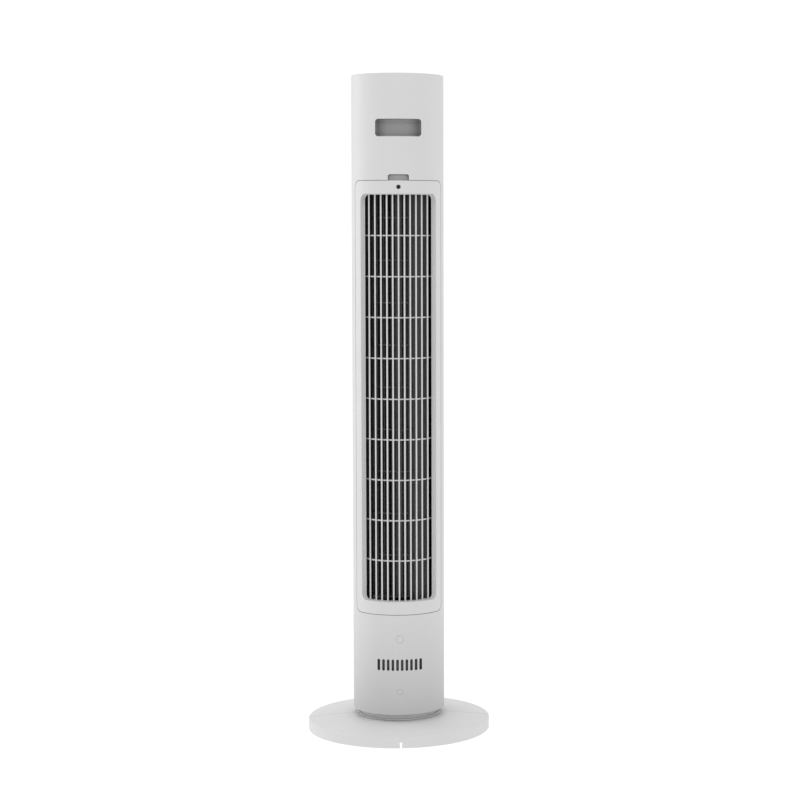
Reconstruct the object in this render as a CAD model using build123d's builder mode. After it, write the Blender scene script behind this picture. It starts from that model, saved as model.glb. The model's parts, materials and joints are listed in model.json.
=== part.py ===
from build123d import *
import math
import os

# Cylindrical tower fan on a round two-piece base. Millimetres, +Z up. The origin is on the floor, on the
# column's axis. The air intake, the handle and the cord outlet are at the rear, which is -Y.

# ---- driving dimensions -------------------------------------------------------------------------------
overall_height = 1115.0
base_r = 155.5
base_rim_top = 18.0
base_top = 26.0
base_wall = 2.5
rim_bottom = 0.3
base_half_gap = 0.5

column_r = 77.9
shell_wall = 2.4
shell_inner_r = column_r - shell_wall
column_bottom = 37.0
shell_half_gap = 0.1

neck_r = 70.0
neck_tube_r = 66.0
neck_top = 36.4
flange_gap = 0.9
flange_top = 28.6
collar_bore_r = 62.0
collar_lip_r = 50.0

panel_low = 208.2
panel_high = 938.7
panel_corner = 13.0
panel_gap = 0.9
intake_half_angle = 67.7
outlet_half_angle = 44.0

bay_height = 68.54
bay_count = 10
opening_low = 230.8
opening_high = opening_low + bay_count * bay_height
opening_mid = (opening_low + opening_high) / 2
opening_corner = 10.0

recess_half_width = 62.9
recess_flare = 0.757
recess_edge_depth = 45.9
recess_corner = 12.5
recess_wall = 1.8
frame_outer_r = 70.0
frame_inner_r = 68.0
frame_half_angle = 52.45
frame_corner = 9.5
frame_high = opening_high - 1.3
rail_half_width = 56.5
rail_inner_r = 60.5
bar_count = 11
bar_pitch = 9.75
bar_width = 2.7
bar_depth = 5.6
bar_edge = 1.1
bar_line_r = 65.2
rib_outer_r = 63.5
rib_inner_r = 60.5
rib_height = 2.0
rib_drop = 0.8

outlet_half_width = 44.0
outlet_bar_count = 14
outlet_bar_pitch = 6.2
outlet_bar_width = 2.0
outlet_bar_depth = 4.4
outlet_line_r = column_r - 3.0
outlet_rib_r = column_r - 3.5
outlet_inner_r = column_r - 6.5

screw_z = 927.35
screw_boss_r = 5.2
screw_boss_back = 69.7
screw_well_r = 3.8
screw_seat = 71.3
screw_end = 62.0
screw_r = 1.45
screw_bore_r = 1.5
screw_hole_r = 1.7
screw_head_r = 2.9
screw_head = 1.8
cross_depth = 1.0
cross_length = 3.4
cross_width = 0.8
tab_inner = 60.0
window_low = 1010.7
window_high = 1039.6
window_half_width = 38.2
window_corner = 5.0
handle_depth_y = -48.0
cup_length = 40.0
pocket_length = 20.0
notch_half_width = 17.5
notch_high = 948.3
notch_corner = 3.5
pocket_low = 935.0
pocket_depth_y = -66.0
pocket_wall = 1.8

vent_count = 10
vent_pitch = 7.86
vent_width = 4.5
vent_low = 113.3
vent_high = 132.9
baffle_outer_r = 71.0
baffle_wall = 1.6
baffle_half_width = 46.0
baffle_margin = 6.0
baffle_post = 3.0
upper_plug_z = 167.3
lower_plug_z = 77.0
plug_heights = {upper_plug_z: 6.3, lower_plug_z: 4.9}
plug_clearance = 0.25

impeller_r = 45.0
impeller_bore = 31.0
section_height = 71.4
section_count = 9
disc_thickness = 2.0
impeller_low = 233.2
impeller_high = 918.0
blade_count = 36
blade_wall = 1.1
weld_gap = 0.05
shaft_r = 4.0
fit_clearance = 0.05

duct_low = 222.0
duct_floor_top = 225.0
duct_ceiling_bottom = 921.0
duct_ceiling_top = 924.0
duct_wall = 1.8
bearing_seat_r = 14.0
lead_place = (64.0, 14.0)
duct_plate_r = 70.3
tab_face_y = -73.0
tab_depth = 6.5
tab_width = 18.0
turntable_tab_height = 47.0
floor_tab_low = 150.0
ceiling_tab_y = -67.0
ceiling_tab_height = 9.8
duct_bore_r = 20.0
lead_hole_r = 4.0

spindle_r = 20.0
spindle_bore = 13.0
spindle_low = 8.5
spindle_top = 67.5
spindle_flange_r = 45.0
spindle_flange = 3.0
washer_outer_r = 65.0
washer_inner_r = 52.0
retaining_ring_r = 27.0
hub_r = 26.0
turntable_low = 38.1
turntable_top = 41.1
hub_top = 58.0

gear_module = 1.0
gear_teeth = 60
pinion_teeth = 15
gear_low = 60.5
gear_high = 66.5
backlash = 0.16
mesh_distance = gear_module * (gear_teeth + pinion_teeth) / 2 + 0.1

foot_height = 2.0
foot_circle_r = 140.0
foot_count = 6
foot_r = 9.0
boss_circle_r = 135.0
boss_count = 8
boss_start_angle = 22.5
boss_r = 4.5
boss_height = 14.4
boss_bore = 11.0

panel_top_z = 1114.6
panel_plate = 2.4
key_names = ("power_button", "speed_button", "swing_button", "timer_button")
key_pitch = 24.0
key_y = 26.0
key_r = 7.0
key_hole_r = 7.3
key_flange_r = 8.8
key_top = 1114.9
key_travel = 0.4
board_low = 1101.4
board_high = 1103.0
switch_top = 1107.5

os.makedirs("parts", exist_ok=True)


# ---- shared profiles ----------------------------------------------------------------------------------
def panel_outline(half_angle, low, high, corner, radius=column_r):
    """Front view of a curved panel. Its corners look narrower, because the wall turns away there."""
    half_width = radius * math.sin(math.radians(half_angle))
    corner_angle = half_angle - math.degrees(corner / radius)
    corner_width = half_width - radius * math.sin(math.radians(corner_angle))
    straight_x = half_width - corner_width
    with BuildSketch(Plane.XZ) as outline:
        with BuildLine():
            Line((-straight_x, low), (straight_x, low))
            EllipticalCenterArc((straight_x, low + corner), corner_width, corner, 270, arc_size=90)
            Line((half_width, low + corner), (half_width, high - corner))
            EllipticalCenterArc((straight_x, high - corner), corner_width, corner, 0, arc_size=90)
            Line((straight_x, high), (-straight_x, high))
            EllipticalCenterArc((-straight_x, high - corner), corner_width, corner, 90, arc_size=90)
            Line((-half_width, high - corner), (-half_width, low + corner))
            EllipticalCenterArc((-straight_x, low + corner), corner_width, corner, 180, arc_size=90)
        make_face()
    return outline.sketch


def tube(outer, inner, low, high):
    """Round ring about the column's axis, for use inside a part block."""
    with BuildSketch(Plane.XY.offset(low)) as ring:
        Circle(outer)
        Circle(inner, mode=Mode.SUBTRACT)
    extrude(ring.sketch, amount=high - low)


def ring_panel(outline, outer, inner, side):
    """Curved plate: the stretch of a ring that lies behind an outline. Side is 1 at the rear, -1 in front."""
    with BuildPart() as plate:
        tube(outer, inner, panel_low - 20, panel_high + 20)
        extrude(outline, amount=side * 2 * column_r, mode=Mode.INTERSECT)
    return plate.part


def flared_recess(grow):
    """Recess round the intake, wider towards the outside; grow adds a wall's thickness all round."""
    with BuildPart() as recess:
        for depth in (20.0, 80.0):
            half_width = recess_half_width + recess_flare * (depth - recess_edge_depth) + grow
            with BuildSketch(Plane.XZ.offset(depth)):
                with Locations((0, opening_mid)):
                    RectangleRounded(
                        2 * half_width,
                        opening_high - opening_low + 2 * grow,
                        recess_corner + grow,
                    )
        loft()
    return recess.part


def rail_block(grow):
    """Straight-sided space behind the frame of the intake, where the bars and ribs are."""
    with BuildPart() as block:
        with BuildSketch(Plane.XZ):
            with Locations((0, (opening_low + frame_high) / 2)):
                Rectangle(2 * (rail_half_width + grow), frame_high - opening_low + 2 * grow)
        extrude(amount=column_r)
    return block.part


def gear_outline(teeth):
    """Points round a spur gear with involute flanks, thinned by the backlash."""
    pitch_r = gear_module * teeth / 2
    base_circle_r = pitch_r * math.cos(math.radians(20))
    tip_r = pitch_r + 0.9 * gear_module
    root_r = pitch_r - 1.25 * gear_module
    half_tooth = math.pi / (2 * teeth) - backlash / (2 * pitch_r)

    def involute(radius):
        pressure = math.acos(min(1.0, base_circle_r / radius))
        return math.tan(pressure) - pressure

    start_r = max(base_circle_r, root_r)
    radii = [start_r + (tip_r - start_r) * step / 4 for step in range(5)]
    flank = [(r, half_tooth + involute(pitch_r) - involute(r)) for r in radii]
    if root_r < start_r:
        flank.insert(0, (root_r, flank[0][1]))
    points = []
    for tooth in range(teeth):
        middle = 2 * math.pi * tooth / teeth
        for radius, angle in flank:
            points.append((radius * math.cos(middle - angle), radius * math.sin(middle - angle)))
        for radius, angle in reversed(flank):
            points.append((radius * math.cos(middle + angle), radius * math.sin(middle + angle)))
    return points


# ---- base ---------------------------------------------------------------------------------------------
cover_bore = neck_tube_r + 1.0
rim_edge = 1.0

with BuildPart() as base_cover:
    with BuildSketch(Plane.XZ):
        with BuildLine():
            Line((cover_bore, base_top + 0.1), (neck_r, base_top))
            ThreePointArc((neck_r, base_top), (112.5, 22.5), (base_r - rim_edge, base_rim_top))
            RadiusArc((base_r - rim_edge, base_rim_top), (base_r, base_rim_top - rim_edge), rim_edge)
            Line((base_r, base_rim_top - rim_edge), (base_r, rim_bottom))
            Line((base_r, rim_bottom), (base_r - base_wall, rim_bottom))
            Line((base_r - base_wall, rim_bottom), (base_r - base_wall, base_rim_top - base_wall))
            ThreePointArc(
                (base_r - base_wall, base_rim_top - base_wall),
                (112.5, 22.5 - base_wall),
                (cover_bore, base_top + 0.1 - base_wall),
            )
            Line((cover_bore, base_top + 0.1 - base_wall), (cover_bore, base_top + 0.1))
        make_face()
    revolve(axis=Axis.Z)
    with BuildSketch(Plane.XY.offset(2 * foot_height)):
        with PolarLocations(boss_circle_r, boss_count, start_angle=boss_start_angle):
            Circle(boss_r)
    extrude(amount=boss_height)
    with BuildSketch(Plane.XY.offset(2 * foot_height)):
        with PolarLocations(boss_circle_r, boss_count, start_angle=boss_start_angle):
            Circle(screw_bore_r)
    extrude(amount=boss_bore, mode=Mode.SUBTRACT)

# Keyhole in the rear rim, where the mains lead leaves the base
outlet_r = 2.6
outlet_z = 7.4
outlet_mouth = 3.2
with BuildPart() as base_cover_rear:
    add(base_cover.part)
    split(bisect_by=Plane.XZ.offset(base_half_gap), keep=Keep.TOP)
    with BuildSketch(Plane.XZ.offset(base_r - 12)):
        with Locations((0, outlet_z)):
            Circle(outlet_r)
        with Locations((0, outlet_z / 2)):
            Rectangle(outlet_mouth, outlet_z)
    extrude(amount=14, mode=Mode.SUBTRACT)
base_cover_rear.part.label = "base_cover_rear"
export_step(base_cover_rear.part, "parts/base_cover_rear.step")

with BuildPart() as base_cover_front:
    add(base_cover.part)
    split(bisect_by=Plane.XZ.offset(-base_half_gap), keep=Keep.BOTTOM)
base_cover_front.part.label = "base_cover_front"
export_step(base_cover_front.part, "parts/base_cover_front.step")

# A channel in the bottom plate takes the mains lead from the keyhole to its clamp
plate_r = base_r - base_wall - 0.3
lead_channel_width = 9.0
lead_channel_end = 123.0
with BuildPart() as base_bottom_plate:
    with BuildSketch(Plane.XY.offset(foot_height)):
        Circle(plate_r)
        with PolarLocations(boss_circle_r, boss_count, start_angle=boss_start_angle):
            Circle(screw_hole_r, mode=Mode.SUBTRACT)
        with Locations((0, -(plate_r + lead_channel_end) / 2)):
            Rectangle(lead_channel_width, plate_r - lead_channel_end + 1, mode=Mode.SUBTRACT)
    extrude(amount=foot_height)
base_bottom_plate.part.label = "base_bottom_plate"
export_step(base_bottom_plate.part, "parts/base_bottom_plate.step")

with BuildPart() as rubber_feet:
    with BuildSketch():
        with PolarLocations(foot_circle_r, foot_count):
            Circle(foot_r)
    extrude(amount=foot_height)
rubber_feet.part.label = "rubber_feet"
export_step(rubber_feet.part, "parts/rubber_feet.step")

base_screw_head = 1.2
with BuildPart() as base_screws:
    with PolarLocations(boss_circle_r, boss_count, start_angle=boss_start_angle):
        with Locations((0, 0, foot_height - base_screw_head)):
            Cylinder(3.0, base_screw_head, align=(Align.CENTER, Align.CENTER, Align.MIN))
        with Locations((0, 0, foot_height)):
            Cylinder(screw_r, boss_bore, align=(Align.CENTER, Align.CENTER, Align.MIN))
base_screws.part.label = "base_screws"
export_step(base_screws.part, "parts/base_screws.step")

weight_r = 111.0
flange_screw_circle_r = 34.0
flange_screw_r = 2.45
flange_screw_head = 2.8
with BuildPart() as base_weight:
    tube(weight_r, spindle_bore, 2 * foot_height, spindle_low)
    with BuildSketch(Plane.XY.offset(2 * foot_height)):
        with PolarLocations(flange_screw_circle_r, 4, start_angle=45):
            Circle(flange_screw_r + 0.05)
    extrude(amount=spindle_low - 2 * foot_height, mode=Mode.SUBTRACT)
base_weight.part.label = "base_weight"
export_step(base_weight.part, "parts/base_weight.step")

with BuildPart() as neck_collar:
    with BuildSketch(Plane.XZ):
        with BuildLine():
            Polyline(
                (collar_bore_r, spindle_low),
                (neck_tube_r, spindle_low),
                (neck_tube_r, base_top + flange_gap),
                (neck_r, base_top + flange_gap),
                (neck_r, flange_top - 0.4),
                (neck_r - 0.4, flange_top),
                (neck_tube_r, flange_top),
                (neck_tube_r, neck_top),
                (collar_lip_r, neck_top),
                (collar_lip_r, neck_top - 3),
                (collar_bore_r, neck_top - 3),
                close=True,
            )
        make_face()
    revolve(axis=Axis.Z)
neck_collar.part.label = "neck_collar"
export_step(neck_collar.part, "parts/neck_collar.step")

with BuildPart() as swivel_spindle:
    tube(spindle_flange_r, spindle_bore, spindle_low, spindle_low + spindle_flange)
    tube(spindle_r, spindle_bore, spindle_low + spindle_flange, spindle_top)
    with BuildSketch(Plane.XY.offset(spindle_low)):
        with PolarLocations(flange_screw_circle_r, 4, start_angle=45):
            Circle(flange_screw_r + 0.15)
    extrude(amount=spindle_flange, mode=Mode.SUBTRACT)
swivel_spindle.part.label = "swivel_spindle"
export_step(swivel_spindle.part, "parts/swivel_spindle.step")

with BuildPart() as spindle_screws:
    with PolarLocations(flange_screw_circle_r, 4, start_angle=45):
        with Locations((0, 0, 2 * foot_height)):
            Cylinder(
                flange_screw_r,
                spindle_low + spindle_flange - 2 * foot_height,
                align=(Align.CENTER, Align.CENTER, Align.MIN),
            )
        with Locations((0, 0, spindle_low + spindle_flange)):
            Cylinder(4.5, flange_screw_head, align=(Align.CENTER, Align.CENTER, Align.MIN))
spindle_screws.part.label = "spindle_screws"
export_step(spindle_screws.part, "parts/spindle_screws.step")

with BuildPart() as thrust_washer:
    tube(washer_outer_r, washer_inner_r, neck_top, turntable_low - 0.1)
thrust_washer.part.label = "thrust_washer"
export_step(thrust_washer.part, "parts/thrust_washer.step")

with BuildPart() as retaining_ring:
    tube(retaining_ring_r, spindle_r, hub_top + 0.3, gear_low)
retaining_ring.part.label = "retaining_ring"
export_step(retaining_ring.part, "parts/retaining_ring.step")

with BuildPart() as swing_gear:
    with BuildSketch(Plane.XY.offset(gear_low)):
        with BuildLine():
            Polyline(*gear_outline(gear_teeth), close=True)
        make_face()
        Circle(spindle_r, mode=Mode.SUBTRACT)
    extrude(amount=gear_high - gear_low)
swing_gear.part.label = "swing_gear"
export_step(swing_gear.part, "parts/swing_gear.step")

# The clamp that takes the pull of the mains lead, inside the rear rim
clamp_y = -118.0
clamp_height = 9.0
clamp_groove_r = 3.3
clamp_screw_x = 10.0
clamp_places = [(-clamp_screw_x, clamp_y), (clamp_screw_x, clamp_y)]
with BuildPart() as cord_clamp:
    with Locations((0, clamp_y, 2 * foot_height)):
        Box(30, 9, clamp_height, align=(Align.CENTER, Align.CENTER, Align.MIN))
    fillet(cord_clamp.edges().filter_by(Axis.Y).group_by(Axis.Z)[-1], 3)
    with BuildSketch(Plane.XZ.offset(-clamp_y)):
        with Locations((0, 2 * foot_height + 2.4)):
            Circle(clamp_groove_r)
        with Locations((0, 2 * foot_height)):
            Rectangle(2 * clamp_groove_r, 4.8)
    extrude(amount=10, both=True, mode=Mode.SUBTRACT)
    with BuildSketch(Plane.XY.offset(2 * foot_height)):
        with Locations(clamp_places):
            Circle(1.6)
    extrude(amount=clamp_height + 1, mode=Mode.SUBTRACT)
cord_clamp.part.label = "cord_clamp"
export_step(cord_clamp.part, "parts/cord_clamp.step")

with BuildPart() as cord_clamp_screws:
    with BuildSketch(Plane.XY.offset(2 * foot_height)):
        with Locations(clamp_places):
            Circle(screw_bore_r)
    extrude(amount=clamp_height)
    with BuildSketch(Plane.XY.offset(2 * foot_height + clamp_height)):
        with Locations(clamp_places):
            Circle(screw_head_r)
    extrude(amount=screw_head)
cord_clamp_screws.part.label = "cord_clamp_screws"
export_step(cord_clamp_screws.part, "parts/cord_clamp_screws.step")

# ---- column: the part that turns on the base ----------------------------------------------------------
strut_x = 67.0
strut_thickness = 3.0
with BuildPart() as turntable:
    tube(shell_inner_r - 0.2, spindle_r + fit_clearance, turntable_low, turntable_top)
    tube(hub_r, spindle_r + fit_clearance, turntable_top, hub_top)
    with Locations((0, tab_face_y, turntable_low)):
        Box(tab_width, tab_depth, turntable_tab_height, align=(Align.CENTER, Align.MIN, Align.MIN))
    with BuildSketch(Plane.XZ.offset(tab_inner)):
        with Locations((0, lower_plug_z)):
            Circle(screw_bore_r)
    extrude(amount=-tab_face_y - tab_inner, mode=Mode.SUBTRACT)
turntable.part.label = "turntable"
export_step(turntable.part, "parts/turntable.step")

with BuildPart() as support_struts:
    with Locations((-strut_x, 0, turntable_top), (strut_x, 0, turntable_top)):
        Box(
            strut_thickness,
            20,
            duct_low - turntable_top,
            align=(Align.CENTER, Align.CENTER, Align.MIN),
        )
support_struts.part.label = "support_struts"
export_step(support_struts.part, "parts/support_struts.step")

# Whole shell before it is parted into a rear and a front half
with BuildPart() as column_shell:
    tube(column_r, shell_inner_r, column_bottom, overall_height)
    outer_edges = column_shell.edges().filter_by(GeomType.CIRCLE).sort_by(SortBy.RADIUS)[-2:]
    fillet(outer_edges.sort_by(Axis.Z)[-1], 1.5)
    lower_edges = column_shell.edges().filter_by(GeomType.CIRCLE).group_by(Axis.Z)[0]
    fillet(lower_edges.sort_by(SortBy.RADIUS)[-1], 0.8)

# The rear half is thicker round the intake, so that a ledge is left behind the seam of the grille
ledge_thickness = 1.6
ledge_width = 3.5
ledge_angle = 2.5
vent_mid = (vent_low + vent_high) / 2
pad_reach = 4 * column_r
pad_angle = math.radians(intake_half_angle + ledge_angle)
with BuildPart() as ledge_pad:
    with BuildSketch(Plane.XY.offset(panel_low - ledge_width)):
        Circle(column_r - shell_wall / 2)
        Circle(shell_inner_r - ledge_thickness, mode=Mode.SUBTRACT)
        Polygon(
            (0, 0),
            (-pad_reach * math.sin(pad_angle), -pad_reach * math.cos(pad_angle)),
            (pad_reach * math.sin(pad_angle), -pad_reach * math.cos(pad_angle)),
            align=None,
            mode=Mode.INTERSECT,
        )
    extrude(amount=panel_high - panel_low + 2 * ledge_width)
    with BuildSketch(Plane.XZ):
        with Locations((0, (pocket_low + notch_high) / 2)):
            Rectangle(
                2 * (notch_half_width + pocket_wall + shell_half_gap),
                notch_high - pocket_low + 2 * (pocket_wall + shell_half_gap),
            )
    extrude(amount=2 * column_r, mode=Mode.SUBTRACT)

with BuildPart() as rear_shell:
    add(column_shell.part)
    split(bisect_by=Plane.XZ.offset(shell_half_gap), keep=Keep.TOP)
    add(ledge_pad.part)
    add(
        ring_panel(
            panel_outline(intake_half_angle, panel_low, panel_high, panel_corner),
            column_r + 5,
            shell_inner_r,
            1,
        ),
        mode=Mode.SUBTRACT,
    )
    extrude(
        panel_outline(
            intake_half_angle - ledge_angle,
            panel_low + ledge_width,
            panel_high - ledge_width,
            panel_corner - ledge_width,
        ),
        amount=2 * column_r,
        mode=Mode.SUBTRACT,
    )
    with BuildSketch(Plane.XZ):
        with Locations((0, (window_low + window_high) / 2)):
            RectangleRounded(2 * window_half_width, window_high - window_low, window_corner)
        with Locations((0, (panel_high + notch_high) / 2 - notch_corner)):
            RectangleRounded(
                2 * notch_half_width,
                notch_high - panel_high + 2 * notch_corner,
                notch_corner,
            )
        with Locations((0, vent_mid)):
            with GridLocations(vent_pitch, 1, vent_count, 1):
                SlotOverall(vent_high - vent_low, vent_width, rotation=90)
        for height, radius in plug_heights.items():
            with Locations((0, height)):
                Circle(radius + plug_clearance)
    extrude(amount=2 * column_r, mode=Mode.SUBTRACT)
rear_shell.part.label = "rear_shell"
export_step(rear_shell.part, "parts/rear_shell.step")

with BuildPart() as front_shell:
    add(column_shell.part)
    split(bisect_by=Plane.XZ.offset(-shell_half_gap), keep=Keep.BOTTOM)
    extrude(
        panel_outline(outlet_half_angle, panel_low, panel_high, panel_corner),
        amount=-2 * column_r,
        mode=Mode.SUBTRACT,
    )
front_shell.part.label = "front_shell"
export_step(front_shell.part, "parts/front_shell.step")

seam_angle = math.degrees(panel_gap / column_r)
intake_recess = flared_recess(0)
intake_recess_grown = flared_recess(recess_wall)
rail_space = rail_block(0)
rail_space_grown = rail_block(recess_wall)

# Walls of the recess, and the narrow frame at its foot
with BuildPart() as recess_space:
    tube(column_r + 5, frame_outer_r, opening_low - 10, opening_high + 10)
    add(intake_recess, mode=Mode.INTERSECT)

with BuildPart() as recess_walls:
    tube(column_r - 0.8, frame_inner_r, opening_low - 2 * recess_wall, opening_high + 2 * recess_wall)
    add(intake_recess_grown, mode=Mode.INTERSECT)
    add(recess_space.part, mode=Mode.SUBTRACT)
    extrude(
        panel_outline(frame_half_angle, opening_low, frame_high, frame_corner, frame_outer_r),
        amount=2 * column_r,
        mode=Mode.SUBTRACT,
    )

# Rails behind the frame, which the bars and the ribs end in
with BuildPart() as intake_rails:
    tube(frame_inner_r + 0.5, rail_inner_r, opening_low - 2 * recess_wall, opening_high + 2 * recess_wall)
    add(rail_space_grown, mode=Mode.INTERSECT)
    add(rail_space, mode=Mode.SUBTRACT)

with BuildPart() as intake_ribs:
    for rib in range(1, bay_count):
        rib_z = opening_low + rib * bay_height - rib_drop
        tube(rib_outer_r, rib_inner_r, rib_z - rib_height / 2, rib_z + rib_height / 2)
    add(rail_space_grown, mode=Mode.INTERSECT)

with BuildPart() as intake_bars:
    with BuildSketch(Plane.XY.offset(opening_low - 1)):
        for index in range(bar_count):
            bar_x = (index - (bar_count - 1) / 2) * bar_pitch
            with Locations((bar_x, -math.sqrt(bar_line_r**2 - bar_x**2))):
                RectangleRounded(bar_width, bar_depth, bar_edge)
    extrude(amount=frame_high - opening_low + 2)

with BuildPart() as intake_grille:
    add(ring_panel(
        panel_outline(
            intake_half_angle - seam_angle,
            panel_low + panel_gap,
            panel_high - panel_gap,
            panel_corner - panel_gap,
        ),
        column_r,
        shell_inner_r + 0.2,
        1,
    ))
    add(intake_recess, mode=Mode.SUBTRACT)
    add(recess_walls.part)
    add(intake_rails.part)
    add(intake_bars.part)
    add(intake_ribs.part)
    with BuildSketch(Plane.XZ.offset(screw_boss_back)):
        with Locations((0, screw_z)):
            Circle(screw_boss_r)
    extrude(amount=shell_inner_r + 1 - screw_boss_back)
    with BuildSketch(Plane.XZ.offset(screw_boss_back)):
        with Locations((0, screw_z)):
            Circle(screw_hole_r)
    extrude(amount=column_r - screw_boss_back, mode=Mode.SUBTRACT)
    with BuildSketch(Plane.XZ.offset(screw_seat)):
        with Locations((0, screw_z)):
            Circle(screw_well_r)
    extrude(amount=column_r - screw_seat, mode=Mode.SUBTRACT)
intake_grille.part.label = "intake_grille"
export_step(intake_grille.part, "parts/intake_grille.step")

with BuildPart() as intake_grille_screw:
    with BuildSketch(Plane.XZ.offset(screw_end)):
        with Locations((0, screw_z)):
            Circle(screw_r)
    extrude(amount=screw_seat - screw_end)
    with BuildSketch(Plane.XZ.offset(screw_seat)):
        with Locations((0, screw_z)):
            Circle(screw_head_r)
    extrude(amount=screw_head)
    with BuildSketch(Plane.XZ.offset(screw_seat + screw_head - cross_depth)):
        with Locations((0, screw_z)):
            Rectangle(cross_length, cross_width)
            Rectangle(cross_width, cross_length)
    extrude(amount=cross_depth, mode=Mode.SUBTRACT)
intake_grille_screw.part.label = "intake_grille_screw"
export_step(intake_grille_screw.part, "parts/intake_grille_screw.step")

# Air outlet in the front shell: upright bars a finger can't pass, tied by the same ribs
with BuildPart() as outlet_opening:
    with BuildSketch(Plane.XZ):
        with Locations((0, opening_mid)):
            RectangleRounded(2 * outlet_half_width, opening_high - opening_low, opening_corner)
    extrude(amount=-2 * column_r)

with BuildPart() as outlet_ribs:
    for rib in range(1, bay_count):
        rib_z = opening_low + rib * bay_height
        tube(outlet_rib_r, outlet_inner_r, rib_z - rib_height / 2, rib_z + rib_height / 2)
    with BuildSketch(Plane.XZ):
        with Locations((0, opening_mid)):
            Rectangle(2 * outlet_half_width + 2, opening_high - opening_low)
    extrude(amount=-2 * column_r, mode=Mode.INTERSECT)

with BuildPart() as outlet_bars:
    with BuildSketch(Plane.XY.offset(opening_low - 1)):
        for index in range(outlet_bar_count):
            bar_x = (index - (outlet_bar_count - 1) / 2) * outlet_bar_pitch
            with Locations((bar_x, math.sqrt(outlet_line_r**2 - bar_x**2))):
                RectangleRounded(outlet_bar_width, outlet_bar_depth, 0.9)
    extrude(amount=opening_high - opening_low + 2)

with BuildPart() as outlet_grille:
    add(ring_panel(
        panel_outline(
            outlet_half_angle - seam_angle,
            panel_low + panel_gap,
            panel_high - panel_gap,
            panel_corner - panel_gap,
        ),
        column_r,
        outlet_inner_r,
        -1,
    ))
    add(outlet_opening.part, mode=Mode.SUBTRACT)
    add(outlet_bars.part)
    add(outlet_ribs.part)
outlet_grille.part.label = "outlet_grille"
export_step(outlet_grille.part, "parts/outlet_grille.step")

with BuildPart() as handle_hollow:
    with BuildSketch(Plane.XZ.offset(-handle_depth_y)):
        with Locations((0, (window_low + window_high) / 2)):
            RectangleRounded(2 * window_half_width, window_high - window_low, window_corner)
    extrude(amount=cup_length)
    fillet(handle_hollow.faces().sort_by(Axis.Y)[-1].edges(), 4)

with BuildPart() as handle_cup:
    with BuildSketch(Plane.XZ.offset(-handle_depth_y - pocket_wall)):
        with Locations((0, (window_low + window_high) / 2)):
            RectangleRounded(
                2 * (window_half_width + pocket_wall),
                window_high - window_low + 2 * pocket_wall,
                window_corner + pocket_wall,
            )
    extrude(amount=cup_length)
    with BuildSketch(Plane.XY.offset(window_low - 10)):
        Circle(shell_inner_r - fit_clearance)
    extrude(amount=window_high - window_low + 20, mode=Mode.INTERSECT)
    add(handle_hollow.part, mode=Mode.SUBTRACT)
handle_cup.part.label = "handle_cup"
export_step(handle_cup.part, "parts/handle_cup.step")

with BuildPart() as pull_pocket:
    with BuildSketch(Plane.XZ.offset(-pocket_depth_y - pocket_wall)):
        with Locations((0, (pocket_low + notch_high) / 2)):
            RectangleRounded(
                2 * (notch_half_width + pocket_wall),
                notch_high - pocket_low + 2 * pocket_wall,
                notch_corner,
            )
    extrude(amount=pocket_length)
    with BuildSketch(Plane.XY.offset(pocket_low - 10)):
        Circle(shell_inner_r - fit_clearance)
    extrude(amount=notch_high - pocket_low + 20, mode=Mode.INTERSECT)
    with BuildSketch(Plane.XZ.offset(-pocket_depth_y)):
        with Locations((0, (pocket_low + notch_high) / 2)):
            RectangleRounded(2 * notch_half_width, notch_high - pocket_low, notch_corner)
    extrude(amount=pocket_length, mode=Mode.SUBTRACT)
pull_pocket.part.label = "pull_pocket"
export_step(pull_pocket.part, "parts/pull_pocket.step")

# Curved plate that stands off behind the vents, so that nothing can be pushed through them
with BuildPart() as vent_baffle:
    tube(
        baffle_outer_r,
        baffle_outer_r - baffle_wall,
        vent_low - baffle_margin,
        vent_high + baffle_margin,
    )
    with BuildSketch(Plane.XZ):
        with Locations((0, vent_mid)):
            Rectangle(2 * baffle_half_width, 2 * column_r)
    extrude(amount=column_r, mode=Mode.INTERSECT)

with BuildPart() as baffle_posts:
    tube(
        shell_inner_r,
        baffle_outer_r - baffle_wall / 2,
        vent_low - baffle_margin,
        vent_high + baffle_margin,
    )
    with BuildSketch(Plane.XZ):
        for side in (-1, 1):
            with Locations((side * (baffle_half_width - baffle_post / 2), vent_mid)):
                Rectangle(baffle_post, 2 * column_r)
    extrude(amount=column_r, mode=Mode.INTERSECT)

with BuildPart() as vent_guard:
    add(vent_baffle.part)
    add(baffle_posts.part)
vent_guard.part.label = "vent_guard"
export_step(vent_guard.part, "parts/vent_guard.step")

with BuildPart() as screw_plugs:
    tube(column_r, shell_inner_r, column_bottom, duct_low)
    with BuildSketch(Plane.XZ):
        for height, radius in plug_heights.items():
            with Locations((0, height)):
                Circle(radius)
    extrude(amount=2 * column_r, mode=Mode.INTERSECT)
screw_plugs.part.label = "screw_plugs"
export_step(screw_plugs.part, "parts/screw_plugs.step")

with BuildPart() as chassis_screws:
    for height in plug_heights:
        with BuildSketch(Plane.XZ.offset(screw_end)):
            with Locations((0, height)):
                Circle(screw_r)
        extrude(amount=-tab_face_y - screw_end)
        with BuildSketch(Plane.XZ.offset(-tab_face_y)):
            with Locations((0, height)):
                Circle(screw_head_r)
        extrude(amount=screw_head)
chassis_screws.part.label = "chassis_screws"
export_step(chassis_screws.part, "parts/chassis_screws.step")

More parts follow.
